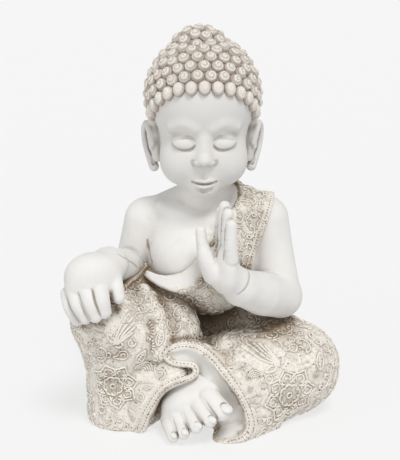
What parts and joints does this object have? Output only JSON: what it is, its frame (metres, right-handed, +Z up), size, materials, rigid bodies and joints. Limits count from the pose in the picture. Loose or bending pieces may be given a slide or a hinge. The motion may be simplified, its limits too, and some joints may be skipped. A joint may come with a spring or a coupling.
{
  "type": "seated child figure statue",
  "caption": "Seated child figure in a patterned one-shoulder robe, one hand raised palm out, the other over the raised knee, one foot showing.",
  "frame": {"origin": "middle of the bounding box's bottom face, on the flat underside's plane", "axes": "+Z up through the head, -Y towards the viewer of the figure's face, +X to the viewer's right"},
  "size_m": [0.2846, 0.2126, 0.4071],
  "materials": {
    "cast_resin": "matt off-white paint with a thin brown wash left in the recesses of the carving"
  },
  "bodies": {
    "root": {"statue": "cast_resin"}
  },
  "joints": []
}
